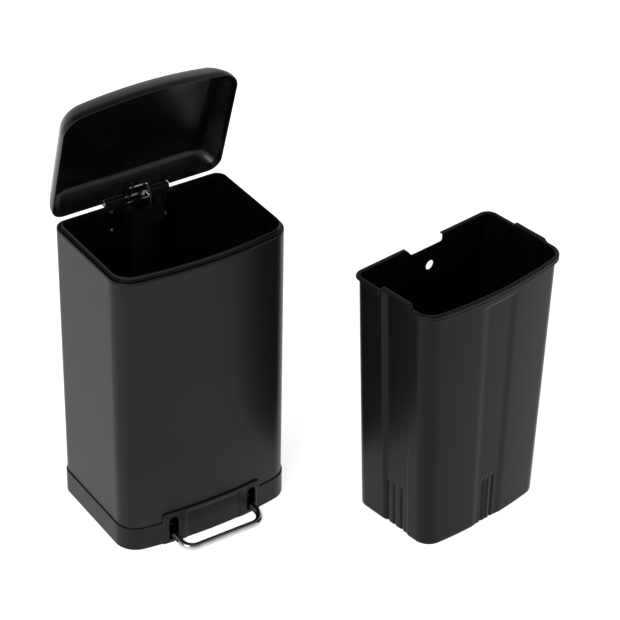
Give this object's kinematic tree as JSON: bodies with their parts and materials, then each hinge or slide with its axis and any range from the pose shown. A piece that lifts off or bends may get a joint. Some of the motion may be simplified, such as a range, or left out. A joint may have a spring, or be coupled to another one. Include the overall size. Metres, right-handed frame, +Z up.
{
  "type": "pedal trash can",
  "caption": "Rectangular pedal trash can with a bowed front, hinged lid, wire pedal bar, and a lift-out bucket standing beside it.",
  "frame": {"origin": "on the floor, under the middle of the straight part of the can's body", "axes": "+Z up; the front of the can, with the pedal, faces -Y; the bucket stands at +X, towards the front"},
  "size_m": [0.8103, 0.5803, 0.8669],
  "materials": {
    "casing": "matt black powder coat",
    "black_plastic": "satin black moulded plastic",
    "lid_plastic": "satin black moulded plastic",
    "bucket_plastic": "satin black moulded plastic",
    "chrome_bar": "polished chrome plate",
    "zinc_steel": "zinc-plated steel",
    "black_steel": "black-painted steel",
    "wire": "bright drawn wire",
    "nylon": "natural white nylon"
  },
  "bodies": {
    "can": {"outer_casing": "casing", "top_collar": "black_plastic", "base_skirt": "black_plastic", "bottom_plate": "black_plastic", "inner_floor": "black_plastic", "mechanism_cover": "black_plastic", "cover_screws": "zinc_steel", "hinge_housing": "black_plastic", "hinge_screws": "zinc_steel", "hinge_pin": "zinc_steel", "rod_guides": "nylon", "nylon_bush": "nylon", "pivot_brackets": "zinc_steel", "bracket_rivets": "zinc_steel", "pedal_axle": "zinc_steel"},
    "pedal": {"pedal_bar": "chrome_bar", "pedal_yoke": "zinc_steel", "lever_arm": "zinc_steel", "lever_pin": "zinc_steel", "arm_rivets": "zinc_steel"},
    "lift_rod": {"lift_rod": "wire", "rod_eye": "zinc_steel"},
    "lid": {"lid_shell": "lid_plastic", "lid_bracket": "black_steel", "bracket_screws": "black_steel"},
    "bucket": {"bucket": "bucket_plastic"}
  },
  "joints": [
    {"name": "lid_hinge", "type": "hinge", "parent": "can", "child": "lid", "pos_m": [0, 0.1278, 0.606], "axis": [-1, 0, 0], "range_deg": [-73, 0]},
    {"name": "pedal_hinge", "type": "hinge", "parent": "can", "child": "pedal", "pos_m": [0, -0.032, 0.032], "axis": [1, 0, 0], "range_deg": [-15.1, 0.1]},
    {"name": "rod_slide", "type": "slide", "parent": "can", "child": "lift_rod", "axis": [0, 0, 1], "range_m": [-0.0369, 0.0002]},
    {"name": "bucket_lift", "type": "slide", "parent": "can", "child": "bucket", "axis": [0, 0, 1], "range_m": [0, 0.45]}
  ],
  "couplings": [
    {"joint": "pedal_hinge", "follows": "lid_hinge", "ratio": 0.20548},
    {"joint": "rod_slide", "follows": "lid_hinge", "m_per_rad": 0.02878}
  ]
}
